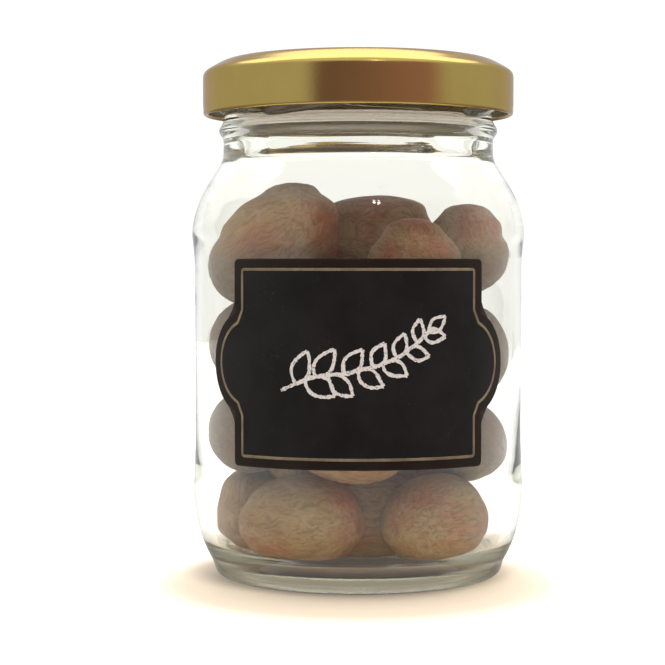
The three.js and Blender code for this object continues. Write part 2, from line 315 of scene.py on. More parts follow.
jarForm = {
    "sides": 144,
    "spacing": 0.45,  # mm between rows
    "cornerPasses": 4,
    # the outside from the middle of the base to the rim, then the inside back down: (radius, height) in mm
    "pushUp": [(0, 1.9), (14, 1.65), (19.8, 1.05), (22.8, 0)],
    "foot": [(24.6, 0), (25.6, 0.5), (26.3, 1.5), (26.45, 2.5), (26.45, 2.9)],
    "heel": [(27.4, 4.3), (28.8, 7.8), (29.7, 12.2), (30.05, 16.8)],
    "panel": [(29.88, 19.5), (29.76, 22.6), (29.7, 24.4), (29.7, 55.2), (29.74, 57)],
    "shoulder": [(29.84, 58.6), (30.06, 60.4), (30.2, 62), (30, 64.2),
                 (29.35, 66.6), (28.6, 68.7), (27.2, 71.2), (24.8, 75)],
    "neck": [(24.5, 76), (24.5, 78.6)],
    "bead": [(24.3, 79.2), (25.5, 80.4), (25.5, 80.8), (25.25, 81.4), (24.8, 81.8), (24.4, 82)],
    "mouth": {"outerRadius": 24.4, "innerRadius": 22.2, "top": 91.2, "rounding": 0.8},
    "insideNeck": [(22.2, 78.6)],
    "insideShoulder": [(22.5, 76.2), (24.3, 72.8), (26.5, 69.2), (27.9, 65.4), (28.34, 61.2), (28.22, 58.8)],
    "insideWall": [(28.1, 56.4), (28.1, 21.4)],
    "insideHeel": [(27.8, 13), (27.1, 8.6), (25.6, 5.6), (22.6, 3.7), (17, 3)],
    "insideMiddle": [(0, 3.5)],
    "panelRadius": 29.7,  # where the label is laid
    "thread": {"count": 4, "start": -131, "sweep": 78,  # degrees
               "low": 83.4, "high": 88.4, "rise": 1.8, "halfWidth": 1.2, "fade": 2.5},
    "wave": {"depth": 0.14, "around": 1.6, "up": 0.055, "calm": 8},  # the blown wall is uneven inside
}
glassLook = {
    # painted shade: the foot and finish colours darken the thick base and the front of the finish under the
    # lid's curl
    "wall": (0.99, 0.99, 0.96, 1), "foot": (0.45, 0.38, 0.35, 1), "finish": (0.36, 0.31, 0.26, 1),
    "footShadeEdge": (2.4, 7.2), "finishShadeEdge": (80.1, 81.2), "frontEdge": (-16, -6),  # mm, where they fade: the painted shade of the foot and of the finish, and the front to which the finish's shade keeps
    "knurl": 0.22, "knurlEdge": (1.2, 2.2),  # the underside is stippled
    "shade": (0.95, 0.95, 0.91, 1),  # light that falls through it
    "depth": (0.78, 0.81, 0.70, 1), "density": 42.0,  # how the thick parts tint
}


def jarOutside():
    form = jarForm
    return (smoothCurve(form["pushUp"], 8) + form["foot"] + smoothCurve(form["heel"], 10) + form["panel"]
            + smoothCurve(form["shoulder"], 16) + form["neck"] + form["bead"])


def jarInside():
    form = jarForm
    return (form["insideNeck"] + smoothCurve(form["insideShoulder"], 6) + form["insideWall"]
            + smoothCurve(form["insideHeel"], 5) + form["insideMiddle"])


def jarRim():
    mouth = jarForm["mouth"]
    low = mouth["top"] - mouth["rounding"]
    return (arcPoints((mouth["outerRadius"] - mouth["rounding"], low), mouth["rounding"], 0, 90, 6)
            + arcPoints((mouth["innerRadius"] + mouth["rounding"], low), mouth["rounding"], 90, 180, 6))


def threadRise(angle, height):
    # how far the twist-off ridges stand out of the finish
    thread = jarForm["thread"]
    step = 360 / thread["count"]
    along = ((math.degrees(angle) - thread["start"]) % step) / thread["sweep"]
    if along > 1:
        return 0
    fade = min(1, math.sin(math.pi * along) * thread["fade"])
    middle = thread["low"] + (thread["high"] - thread["low"]) * along
    off = abs(height - middle) / thread["halfWidth"]
    return thread["rise"] * fade * (1 - off ** 3) ** 0.7 if off < 1 else 0


def makeJarMesh():
    profile = softened(jarOutside() + jarRim() + jarInside(), jarForm["spacing"], jarForm["cornerPasses"])
    topRow = int(np.argmax(profile[:, 1]))
    wave, beadTop = jarForm["wave"], jarForm["bead"][-1][1]

    def bulge(angle, radius, height, row):
        if row < topRow:
            return threadRise(angle, height) if beadTop < height else 0
        x, y = math.cos(angle) * wave["around"], math.sin(angle) * wave["around"]
        uneven = noise.noise(Vector((x, y, height * wave["up"]))) * wave["depth"]
        return uneven * min(1, radius / wave["calm"])

    profile[:, 1] = np.maximum(profile[:, 1], 0)
    return turnedMesh("jarGlass", profile, jarForm["sides"], bulge)


def makeGlassMaterial():
    look = glassLook
    material, tree = newMaterial("clearGlass")
    place = objectPlace(tree)
    _, back, height = splitPlace(tree, place)
    stippled = rampMm(tree, height, look["knurlEdge"], look["knurl"], 0.0)
    haze = mottled(tree, place, 45.0, high=0.03)
    # painted shade: the glass is darker low down in the thick base
    footShaded = mixColours(tree, rampMm(tree, height, look["footShadeEdge"]), look["foot"], look["wall"])
    # painted shade: the finish is darker on the front only, under the lid's curl
    front = rampMm(tree, back, look["frontEdge"], 1.0, 0.0)
    finish = times(tree, front, rampMm(tree, height, look["finishShadeEdge"]))
    glass = addNode(tree, "ShaderNodeBsdfPrincipled", {
        "Base Color": mixColours(tree, finish, footShaded, look["finish"]),
        "Roughness": maths(tree, "ADD", haze, stippled), "IOR": 1.51, "Transmission Weight": 1.0,
        "Normal": bumpNormal(tree, 0.25, 0.0004, mottled(tree, place, 30.0, 1.0))})
    clear = addNode(tree, "ShaderNodeBsdfTransparent", {"Color": look["shade"]})
    rays = addNode(tree, "ShaderNodeLightPath").outputs
    soft = maths(tree, "MAXIMUM", rays["Is Shadow Ray"], rays["Is Diffuse Ray"])
    mixed = addNode(tree, "ShaderNodeMixShader", {0: soft, 1: glass.outputs[0], 2: clear.outputs[0]})
    tint = addNode(tree, "ShaderNodeVolumeAbsorption", {"Color": look["depth"], "Density": look["density"]})
    return finished(material, mixed.outputs[0], tint.outputs[0])


jarGlass = linkObject("jarGlass", makeJarMesh(), makeGlassMaterial())
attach(jarGlass, "root")
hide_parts("jar")
print("jar glass made:", len(jarGlass.data.polygons), "faces")


lidForm = {
    "sides": 144,
    "spacing": 0.3,
    "cornerPasses": 2,
    # the sheet is 0.45 mm thick: inside from the middle down to the curl, then outside back up, in mm
    "inside": [(0, 92.45), (21.6, 92.45), (22.6, 93.05), (23.9, 92.85), (25.1, 92.35), (26.5, 91.6),
               (27.5, 90.9), (27.75, 90.4), (27.75, 84.5), (27.1, 84.28)],
    "curl": {"centre": (27.65, 83.95), "radius": 0.55},
    "skirt": [(28.08, 84.555), (28.2, 84.995)],
    "bevel": [(28.2, 90.6), (27.85, 91.35), (26.7, 92.05), (25.3, 92.85), (24.2, 93.3)],
    "top": [(23.8, 93.4), (23.2, 93.5), (22.1, 93.5), (21.4, 92.9), (0, 92.9)],
    "goldRows": 3,  # rows of gold on the inner side of the curl
    "lug": {"count": 4, "start": -72, "sweep": 14,  # degrees
            "depth": 1.5, "low": 84.0, "high": 85.3, "within": 27.2, "fade": 1.6},
}
goldLook = {
    "dull": (0.49, 0.355, 0.105, 1), "bright": (0.53, 0.39, 0.12, 1), "tint": (0.7, 0.63, 0.62, 1),
    "top": 0.62, "dimmedTopEdge": (23.2, 24.8),  # painted shade: the top is darkened to this share, and the top ends at these radii in mm
    # painted shade: the lining, the lacquered inside, is its pale lacquer darkened for the shade inside the
    # lid
    "dust": (0.6, 0.55, 0.42, 1), "lining": (0.36, 0.31, 0.25, 1),
}


def lidProfile():
    form, curl = lidForm, lidForm["curl"]
    return (form["inside"] + arcPoints(curl["centre"], curl["radius"], -180, 0, 14) + form["skirt"]
            + smoothCurve(form["bevel"], 12) + form["top"])


def lugDepth(angle, height):
    lug = lidForm["lug"]
    if not lug["low"] < height < lug["high"]:
        return 0
    along = ((math.degrees(angle) - lug["start"]) % (360 / lug["count"])) / lug["sweep"]
    return lug["depth"] * min(1, math.sin(math.pi * along) * lug["fade"]) if along < 1 else 0


def makeLidMesh():
    profile = softened(lidProfile(), lidForm["spacing"], lidForm["cornerPasses"])
    lowRow = int(np.argmin(profile[:, 1]))

    def bulge(angle, radius, height, row):
        # the lugs are pressed out of the inner side of the curl
        return -lugDepth(angle, height) if row < lowRow and radius < lidForm["lug"]["within"] else 0

    mesh = turnedMesh("lidShell", profile, lidForm["sides"], bulge)
    # 1 on the lacquered inside, as far as the curl, and 0 on the gold
    inside = 1 + (lowRow - lidForm["goldRows"]) * lidForm["sides"]
    addAttribute(mesh, "lining", [1.0] * inside + [0.0] * (len(mesh.vertices) - inside))
    return mesh


def makeGoldMaterial():
    look = goldLook
    material, tree = newMaterial("goldLacquer")
    place = objectPlace(tree)
    lining = addNode(tree, "ShaderNodeAttribute", attribute_name="lining").outputs["Fac"]
    gold = mixColours(tree, mottled(tree, place, 70.0), look["dull"], look["bright"])
    radius = lengthOf(tree, vectorMaths(tree, "MULTIPLY", place, (1.0, 1.0, 0.0)))
    # painted shade: the top is darker than the rest of the gold
    topDimmed = mixColours(tree, rampMm(tree, radius, look["dimmedTopEdge"], look["top"]), black, gold)
    specks = times(tree, flecked(tree, place, 700.0, 0.1), 0.3)
    dusty = mixColours(tree, specks, topDimmed, look["dust"])
    rolled = addNode(tree, "ShaderNodeMapping", {"Vector": place, "Scale": (40, 40, 1600)}).outputs[0]
    height = maths(tree, "MULTIPLY_ADD", grain(tree, rolled, 1.0, 2.0), 0.5, grain(tree, place, 1500.0, 1.0))
    worn = mottled(tree, place, 110.0, low=0.15, high=0.21)
    return finishedPlain(material, {
        # the inside takes the lining colour with its painted shade
        "Base Color": mixColours(tree, lining, dusty, look["lining"]),
        "Metallic": maths(tree, "MULTIPLY_ADD", lining, -0.9, 1.0),
        "Roughness": maths(tree, "MULTIPLY_ADD", lining, 0.35, worn),
        "Specular Tint": look["tint"], "Coat Weight": 0.08, "Coat Roughness": 0.1,
        "Normal": bumpNormal(tree, 0.1, 0.00006, height)})


lidShell = linkObject("lidShell", makeLidMesh(), makeGoldMaterial())
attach(lidShell, "root")
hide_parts("lid")
print("lid made:", len(lidShell.data.polygons), "faces")


labelForm = {
    "width": 47, "height": 35.6, "centre": 39.7, "corner": 1,
    "gap": 0.06, "thickness": 0.14, "grid": 1.0,  # mm
    "tipCentre": 20, "tipRadius": 9.2, "tipDegrees": 56, "shoulder": 10.4,
    "step": 0.6, "stepShare": 0.87,  # mm out from the side, and at what share of the shoulder's height
    "board": [(0.0072, 0.0062, 0.0056, 1), (0.0122, 0.0108, 0.0098, 1)],
    "border": [(0.012, 0.0065, 0.004, 1), (0.016, 0.0095, 0.006, 1)],
    "chalkDust": (0.4, 0.4, 0.38, 1), "worn": (0.05, 0.04, 0.03, 1),
    "wear": 0.4, "wearEdge": (0.0, 0.3),  # mm in from the paper's edge
}
lineForm = {
    "inset": 1.8, "width": 0.5, "proud": 0.04, "spacing": 0.35, "unevenness": 0.06, "seed": 4,
    "dull": (0.17, 0.125, 0.07, 1), "bright": (0.26, 0.20, 0.125, 1), "metallic": 0.35,
}
chalkForm = {
    "width": 0.62, "proud": 0.05, "spacing": 0.3, "unevenness": 0.28, "seed": 9,
    "stem": [(-13.6, -4.6), (-8, -2.2), (0, -1.0), (7, 1.4), (12.4, 5.6)], "stemSteps": 60,
    "leaves": 6, "longest": 5.8, "shortest": 3.8, "spread": 46,  # mm and degrees off the stem
    "firstLeaf": 9, "leafRun": 44, "stagger": 4,  # in steps along the stem
    "leafSteps": 14, "bow": 0.27, "rootGap": 0.12, "shake": 0.28, "shakePace": 0.45,
    "gaps": (0.10, 0.09, 0.085, 1), "chalk": (0.66, 0.59, 0.55, 1),
}
wallRadius = jarForm["panelRadius"] + labelForm["gap"]


def plaqueOutline(inset):
    # right side bottom to top, then the left side back down; further in, its steps get smaller
    form = labelForm
    side, edge = form["width"] / 2 - inset, form["height"] / 2 - inset
    corner = max(0.35, form["corner"] - inset * 0.4)
    shoulder = form["shoulder"] - inset * 0.75
    turn = form["tipDegrees"] + inset * 6.5
    step = (side + form["step"], shoulder * form["stepShare"])
    right = arcPoints((side - corner, corner - edge), corner, -90, 0, 5)
    right += [(side, -shoulder), (step[0], -step[1])]
    right += arcPoints((form["tipCentre"], 0), form["tipRadius"] - inset, -turn, turn, 24)
    right += [step, (side, shoulder)]
    right += arcPoints((side - corner, edge - corner), corner, 0, 90, 5)
    return right + [(-across, up) for across, up in reversed(right)]


def wrapped(across, up, proud=0.0):
    # a flat place on the label, in mm, laid round the jar's wall
    radius = wallRadius + proud
    angle = across / wallRadius
    return Vector((radius * math.sin(angle), -radius * math.cos(angle), up + labelForm["centre"])) * mm


def makeLabelMesh():
    sheet = bmesh.new()
    sheet.faces.new([sheet.verts.new((across, 0, up)) for across, up in plaqueOutline(0)])
    steps = int(labelForm["width"] / labelForm["grid"])
    offCorners = 0.013  # mm, so that no cut runs through a corner of the outline
    for direction in ((1, 0, 0), (0, 0, 1)):
        for i in range(-steps, steps + 1):
            spot = Vector(direction) * (i * labelForm["grid"] + offCorners)
            everything = sheet.verts[:] + sheet.edges[:] + sheet.faces[:]
            bmesh.ops.bisect_plane(sheet, geom=everything, plane_co=spot, plane_no=direction)
    back = bmesh.ops.duplicate(sheet, geom=sheet.verts[:] + sheet.edges[:] + sheet.faces[:])
    backFaces = [item for item in back["geom"] if isinstance(item, bmesh.types.BMFace)]
    behind = {item for item in back["geom"] if isinstance(item, bmesh.types.BMVert)}
    uv = sheet.loops.layers.uv.new("wallPlace")
    for face in sheet.faces:
        for loop in face.loops:
            loop[uv].uv = (loop.vert.co.x * mm, loop.vert.co.z * mm)
    bmesh.ops.reverse_faces(sheet, faces=backFaces)
    bmesh.ops.bridge_loops(sheet, edges=[edge for edge in sheet.edges if edge.is_boundary])
    for vert in sheet.verts:
        proud = 0 if vert in behind else labelForm["thickness"]
        vert.co = wrapped(vert.co.x, vert.co.z, proud)
    bmesh.ops.recalc_face_normals(sheet, faces=sheet.faces[:])
    mesh = bpy.data.meshes.new("labelSheet")
    sheet.to_mesh(mesh)
    sheet.free()
    mesh.shade_smooth()
    mesh.set_sharp_from_angle(angle=math.radians(40))
    return mesh


def makePlaqueField():
    # depth inside the plaque's edge, in metres, from a flat place on it
    tree, given, result = newGroup("plaqueField", "ShaderNodeTree", {
        "Place": "Vector", "Half Width": 0.02, "Half Height": 0.02, "Tip Centre": 0.02,
        "Tip Radius": 0.01}, {"Depth": "Float"})
    split = splitPlace(tree, given["Place"])
    across, up = maths(tree, "ABSOLUTE", split[0]), maths(tree, "ABSOLUTE", split[1])
    box = maths(tree, "MINIMUM", maths(tree, "SUBTRACT", given["Half Width"], across),
                maths(tree, "SUBTRACT", given["Half Height"], up))
    out = maths(tree, "SUBTRACT", across, given["Tip Centre"])
    squares = maths(tree, "ADD", times(tree, out, out), times(tree, up, up))
    tip = maths(tree, "SUBTRACT", given["Tip Radius"], maths(tree, "SQRT", squares))
    tree.links.new(maths(tree, "MAXIMUM", box, tip), result["Depth"])
    return tree


def makePaperMaterial():
    form, inset = labelForm, lineForm["inset"]
    material, tree = newMaterial("chalkboardPaper")
    place = addNode(tree, "ShaderNodeUVMap", uv_map="wallPlace").outputs[0]
    depth = groupValue(tree, makePlaqueField(), {
        "Place": place, "Half Width": form["width"] / 2 * mm, "Half Height": form["height"] / 2 * mm,
        "Tip Centre": form["tipCentre"] * mm, "Tip Radius": form["tipRadius"] * mm})
    inside = rampMm(tree, depth, (inset - 0.1, inset + 0.1))
    edgeWear = rampMm(tree, depth, form["wearEdge"], form["wear"], 0.0)
    smudge = mottled(tree, place, 110.0, 5.0)
    board, border = (mixColours(tree, smudge, *form[part]) for part in ("board", "border"))
    colour = mixColours(tree, inside, border, board)
    crumbs = times(tree, flecked(tree, place, 1500.0, 0.2), 0.12)
    dusted = mixColours(tree, crumbs, colour, form["chalkDust"])
    return finishedPlain(material, {
        "Base Color": mixColours(tree, edgeWear, dusted, form["worn"]),
        "Roughness": ramp(tree, inside, 0.0, 1.0, 0.4, 0.46), "Specular IOR Level": 0.16,
        "Normal": bumpNormal(tree, 0.2, 0.00005, grain(tree, place, 3800.0, 3.0))})


def makeStrokeTree():
    # lines drawn flat become thin rounded strokes of ink or chalk on the jar's wall
    tree, given, result = newGroup("wallStrokes", "GeometryNodeTree", {
        "Lines": "Geometry", "Width": 0.0005, "Proud": 0.00005, "Spacing": 0.0003, "Wall Radius": 0.03,
        "Height": 0.04, "Unevenness": 0.0, "Seed": 1, "Material": "Material"}, {"Strokes": "Geometry"})
    tree.is_modifier = True
    lines = geometryStep(tree, "MeshToCurve", {"Mesh": given["Lines"]})
    even = geometryStep(tree, "ResampleCurve", {"Curve": lines, "Length": given["Spacing"]}, mode="LENGTH")
    index = geometryStep(tree, "InputIndex")
    chance = addNode(tree, "FunctionNodeRandomValue", {
        "Min": -1.0, "Max": 1.0, "ID": index, "Seed": given["Seed"]}, data_type="FLOAT")
    thickness = maths(tree, "MULTIPLY_ADD", usedOutput(chance), given["Unevenness"], 1.0)
    pressed = geometryStep(tree, "SetCurveRadius", {"Curve": even, "Radius": thickness})
    halfWidth = times(tree, given["Width"], 0.5)
    nib = geometryStep(tree, "CurvePrimitiveCircle", {"Resolution": 10, "Radius": halfWidth})
    tubes = geometryStep(tree, "CurveToMesh", {
        "Curve": pressed, "Profile Curve": nib, "Scale": thickness, "Fill Caps": True})
    across, out, up = splitPlace(tree, geometryStep(tree, "InputPosition"))
    flat = maths(tree, "DIVIDE", given["Proud"], halfWidth)
    radius = maths(tree, "MULTIPLY_ADD", times(tree, out, flat), -1.0, given["Wall Radius"])
    angle = maths(tree, "DIVIDE", across, given["Wall Radius"])
    x = times(tree, radius, maths(tree, "SINE", angle))
    y = times(tree, times(tree, radius, maths(tree, "COSINE", angle)), -1.0)
    z = maths(tree, "ADD", up, given["Height"])
    onWall = addNode(tree, "ShaderNodeCombineXYZ", {0: x, 1: y, 2: z}).outputs[0]
    laid = geometryStep(tree, "SetPosition", {"Geometry": tubes, "Position": onWall})
    real = geometryStep(tree, "RealizeInstances", {"Geometry": laid})
    finishGeometry(tree, real, given["Material"], result["Strokes"])
    return tree


def lineMesh(name, lines):
    # flat lines, each a list of (across, up) in mm and whether it closes on itself
    vertices, edges = [], []
    for points, closed in lines:
        first = len(vertices)
        vertices += [(across * mm, 0, up * mm) for across, up in points]
        edges += [(first + i, first + i + 1) for i in range(len(points) - 1)]
        if closed:
            edges.append((first + len(points) - 1, first))
    return newMesh(name, vertices, edges, [])


def handDrawn(points):
    # a slight wobble, as a hand with chalk makes
    drawn = []
    for across, up in points:
        shake = noise.noise(Vector((across, up, 3.7)) * chalkForm["shakePace"]) * chalkForm["shake"]
        drawn.append((across + shake, up + shake))
    return drawn, False


def leafStrokes(root, length, tilt):
    # two bowed edges that meet at the tip and cross a little at the root
    form, strokes, turn = chalkForm, [], math.radians(tilt)
    for bow in (1, -1):
        points = []
        for i in range(form["leafSteps"] + 1):
            t = i / form["leafSteps"]
            across = length * t
            up = bow * length * form["bow"] * math.sin(math.pi * t ** 0.85) + bow * form["rootGap"] * (1 - t)
            points.append((root[0] + across * math.cos(turn) - up * math.sin(turn),
                           root[1] + across * math.sin(turn) + up * math.cos(turn)))
        strokes.append(handDrawn(points))
    return strokes


def sprigDrawing():
    # a leafy sprig: one curved stem with leaves on both sides and one at its tip
    form = chalkForm
    stem = smoothCurve(form["stem"], form["stemSteps"])

    def heading(before, after):
        return math.degrees(math.atan2(after[1] - before[1], after[0] - before[0]))

    strokes = [handDrawn(stem)]
    for i in range(form["leaves"]):
        share = i / (form["leaves"] - 1)
        length = form["longest"] + (form["shortest"] - form["longest"]) * share
        for side in (1, -1):
            at = int(form["firstLeaf"] + form["leafRun"] * share + (0 if side > 0 else form["stagger"]))
            along = heading(stem[at - 1], stem[at + 1])
            strokes += leafStrokes(stem[at], length, along + side * form["spread"])
    strokes += leafStrokes(stem[-1], form["shortest"], heading(stem[-2], stem[-1]))
    return strokes


def makeInkMaterial():
    material, tree = newMaterial("goldInk")
    place = objectPlace(tree)
    patches = mottled(tree, place, 260.0, 4.0)
    return finishedPlain(material, {
        "Base Color": mixColours(tree, patches, lineForm["dull"], lineForm["bright"]),
        "Metallic": lineForm["metallic"], "Roughness": mottled(tree, place, 900.0, low=0.35, high=0.55),
        "Normal": bumpNormal(tree, 0.2, 0.00002, patches)})


def makeChalkMaterial():
    material, tree = newMaterial("whiteChalk")
    tooth = grain(tree, objectPlace(tree), 3200.0, 4.0, 0.7)
    return finishedPlain(material, {
        "Base Color": mixColours(tree, ramp(tree, tooth, 0.34, 0.46), chalkForm["gaps"], chalkForm["chalk"]),
        "Roughness": ramp(tree, tooth, 0.3, 0.7, 0.8, 0.95), "Specular IOR Level": 0.2,
        "Normal": bumpNormal(tree, 0.5, 0.00008, tooth)})


def makeStrokes(name, lines, form, material):
    strokes = linkObject(name, lineMesh(name, lines))
    runNodes(strokes, strokeTree, {
        "Width": form["width"] * mm, "Proud": form["proud"] * mm, "Spacing": form["spacing"] * mm,
        "Wall Radius": (wallRadius + labelForm["thickness"]) * mm, "Height": labelForm["centre"] * mm,
        "Unevenness": form["unevenness"], "Seed": form["seed"], "Material": material})
    return strokes


labelSheet = linkObject("labelSheet", makeLabelMesh(), makePaperMaterial())
strokeTree = makeStrokeTree()
borderPath = [(plaqueOutline(lineForm["inset"]), True)]
borderLine = makeStrokes("borderLine", borderPath, lineForm, makeInkMaterial())
chalkSprig = makeStrokes("chalkSprig", sprigDrawing(), chalkForm, makeChalkMaterial())

for piece in (labelSheet, borderLine, chalkSprig):
    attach(piece, "root")
    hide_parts("label")
print("label made:", len(labelSheet.data.polygons), "faces, strokes", len(chalkSprig.data.polygons))


# degrees round the jar from its front, mm out from its axis and up, degrees turned from the wall
# and raised from level, mm long and wide, and how easily it gives way
nutmegSeats = [
    (-31.5, 18.6, 11.4, 8, 4, 22.5, 15.8, 0.1),
    (44, 19.2, 11.2, 4, 4, 21.5, 15.6, 0.1),
    (-98, 20, 10.2, 4, -14, 21, 14.8, 0.05),
    (-163, 18, 12, 0, 0, 22, 16.5, 1),
    (116, 14.5, 12, 0, -5, 21, 16, 0.7),
    (-92, 19.8, 24.8, 14, -6, 22, 15.6, 0.1),
    (-3, 18.6, 28.6, 0, 0, 21.5, 15.5, 0.3),
    (86, 19.8, 24.2, 6, 0, 22, 15.6, 0.1),
    (140, 17, 27, 0, 0, 23, 17, 1),
    (-155, 18, 27, 0, 0, 22, 16.5, 1),
    (-91, 20, 41, 6, 0, 23.5, 16.3, 0.1),
    (-25, 17.6, 44, 0, 10, 22, 16, 1),
    (22, 17, 41, 60, 0, 21.5, 16, 1),
    (86, 19.5, 40.8, 0, 28, 22, 16, 0.1),
    (140, 18, 42, 0, 0, 23, 17, 1),
    (-145, 18, 42, 0, 0, 22, 16.5, 1),
    (-59, 17.3, 59.2, 24, 35, 27.2, 18.2, 0.05),
    (40, 18.4, 57, 62, 8, 20.5, 16, 0.1),
    (92, 20, 59.6, 24, 8, 21.5, 15.8, 0.1),
    (144, 9.4, 61.6, -144, 0, 22, 17, 0.1),
    (-140, 17, 57, 0, 0, 22, 17, 1),
]
# the same for the ones deep inside, which stand where they fill the middle
innerSeats = [
    (8, 7, 11.2, 0, 0, 22.6, 16, 1),
    (-101, 10.2, 21, 0, 10, 20, 14, 1),
    (-120, 3.5, 33, 80, 75, 22, 15.5, 1),
    (150, 2.5, 48, 10, 66, 22, 15, 1),
]
settling = {"gap": 0.4, "sinkingRounds": 160, "restingRounds": 200, "sink": 0.03, "push": 0.7}
ballPlaces = np.array([0, 0.25, 0.5, 0.75, 1])
nutmegForm = {
    "rows": 56, "sides": 68,
    "furrow": 0.15, "lump": 0.5,  # mm
    "spinStep": 2.4,  # radians each one is rolled on from the last
    "apart": 7.31,  # how far each one's pattern lies from the last one's
    "slim": 0.05, "blunt": 0.045, "widest": 0.955,
    # dents in the shell: depth as a share of its half length, place and reach in radians
    "scar": (0.05, 0.0, 0.16), "collar": (-0.018, 0.3, 0.1), "tail": (0.035, math.pi, 0.13),
    "seam": (0.022, 0.0, 0.14),
}
shellLook = {
    "brown": (0.31, 0.165, 0.068, 1), "tan": (0.375, 0.25, 0.115, 1), "rust": (0.36, 0.112, 0.048, 1),
    "streak": (0.13, 0.052, 0.026, 1), "furrow": (0.10, 0.045, 0.024, 1), "lime": (0.42, 0.34, 0.24, 1),
    "sideShade": (0.08, 0.063, 0.046, 1), "sideShadeShare": 0.6,
    # painted shade: mm sideways from the axis and up, over which the shells near the jar's sides turn darker
    # and greyer
    "sideShadeOutside": (13, 19), "sideShadeAbove": (15, 19), "sideShadeBelow": (55, 63),
    # places in the jar where the shells are painted ruddier, in mm, and how far that reaches: partly the
    # shells' own rust, partly painted shade between neighbours and painted warm light on one top
    "ruddyShadeAndLight": [((-6.3, -17, 63.6), 8), ((4.5, -22, 59), 6), ((5, -24, 14), 6),
              ((-2.5, -22, 16), 4), ((2, 3, 69), 8)],
}


def seatedNutmeg(around, out, height, turn, raised, length, width, ease):
    place, heading, slope = math.radians(around), math.radians(around + turn), math.radians(raised)
    centre = np.array([out * math.sin(place), -out * math.cos(place), height])
    level = math.cos(slope)
    axis = np.array([math.cos(heading) * level, math.sin(heading) * level, math.sin(slope)])
    longHalf, shortHalf = length / 2, width / 2
    reach = longHalf - shortHalf ** 2 / longHalf
    focus = longHalf ** 2 - shortHalf ** 2
    balls = shortHalf * np.sqrt(1 - ((2 * ballPlaces - 1) * reach) ** 2 / focus)
    return {"start": centre - axis * reach, "end": centre + axis * reach, "balls": balls,
            "longHalf": longHalf, "shortHalf": shortHalf, "reach": reach, "ease": ease}


def pointOn(nutmeg, t):
    return nutmeg["start"] + (nutmeg["end"] - nutmeg["start"]) * t


def nudge(nutmeg, t, step):
    share = (1 - t) ** 2 + t ** 2
    nutmeg["start"] = nutmeg["start"] + step * ((1 - t) / share)
    nutmeg["end"] = nutmeg["end"] + step * (t / share)


def pushApart(one, other):
    limit = one["longHalf"] + other["longHalf"] + settling["gap"]
    if np.linalg.norm(pointOn(one, 0.5) - pointOn(other, 0.5)) > limit:
        return
    ease = one["ease"] + other["ease"]
    for i, t in enumerate(ballPlaces):
        for j, u in enumerate(ballPlaces):
            between = pointOn(other, u) - pointOn(one, t)
            distance = math.sqrt(between @ between)
            overlap = one["balls"][i] + other["balls"][j] + settling["gap"] - distance
            if overlap > 0:
                step = between * (overlap * settling["push"] / distance)
                nudge(one, t, step * (-one["ease"] / ease))
                nudge(other, u, step * (other["ease"] / ease))


def pushOffWall(nutmeg, low, span, lengths):
    for i, t in enumerate(ballPlaces):
        centre = pointOn(nutmeg, t)
        radius = math.hypot(centre[0], centre[1])
        spot = np.array([radius, centre[2]])
        share = np.clip(((spot - low) * span).sum(axis=1) / lengths, 0, 1)
        offsets = spot - (low + span * share[:, None])
        distances = np.hypot(offsets[:, 0], offsets[:, 1])
        nearest = int(np.argmin(distances))
        overlap = nutmeg["balls"][i] + settling["gap"] - distances[nearest]
        if overlap > 0:
            off = offsets[nearest] * (overlap / distances[nearest])
            nudge(nutmeg, t, np.array([centre[0] / radius * off[0], centre[1] / radius * off[0], off[1]]))


def keepLength(nutmeg):
    span = nutmeg["end"] - nutmeg["start"]
    length = math.sqrt(span @ span)
    excess = span * ((length - 2 * nutmeg["reach"]) / 2 / length)
    nutmeg["start"] = nutmeg["start"] + excess
    nutmeg["end"] = nutmeg["end"] - excess


def settledNutmegs():
    nutmegs = [seatedNutmeg(*seat) for seat in nutmegSeats]
    wall = np.array(jarInside(), float)
    low, span = wall[:-1], np.diff(wall, axis=0)
    lengths = (span ** 2).sum(axis=1)
    for step in range(settling["sinkingRounds"] + settling["restingRounds"]):
        sink = settling["sink"] if step < settling["sinkingRounds"] else 0
        for one in nutmegs:
            nudge(one, 0.5, np.array([0, 0, -sink * one["ease"]]))
        for i, one in enumerate(nutmegs):
            for other in nutmegs[i + 1:]:
                pushApart(one, other)
        for one in nutmegs:
            pushOffWall(one, low, span, lengths)
            keepLength(one)
    return nutmegs


def dent(form, angle):
    # how deep a soft dent is at an angle
    depth, place, reach = form
    return depth * math.exp(-(((angle - place) / reach) ** 2))


def makePlainNutmeg():
    # one nutmeg of unit size along Z: a blunt egg with a scar at each end and a seam down one side
    form = nutmegForm
    rows, sides = form["rows"], form["sides"]
    vertices, places, rings, faces = [], [], [], []
    for row in range(rows + 1):
        polar = math.pi * row / rows
        count = sides if 0 < row < rows else 1
        rings.append([len(vertices) + (k if count > 1 else 0) for k in range(sides)])
        for side in range(count):
            around = 2 * math.pi * side / sides
            out = math.sin(polar)
            place = Vector((out * math.cos(around), out * math.sin(around), math.cos(polar)))
            waist = 1 - place.z ** 2
            girth = (1 - form["slim"] * waist) * (1 + form["blunt"] * place.z * waist) / form["widest"]
            girth *= 1 - dent(form["seam"], min(around, 2 * math.pi - around)) * out ** 2
            ends = sum(dent(form[part], polar) for part in ("scar", "collar", "tail"))
            vertices.append((place.x * girth, place.y * girth, place.z * (1 - ends)))
            places.append(place)
    for high, low in zip(rings, rings[1:]):
        faces += facesBetween(low, high)
    mesh = newMesh("plainNutmeg", vertices, [], faces)
    mesh.validate()
    addAttribute(mesh, "shellPlace", places)
    return mesh


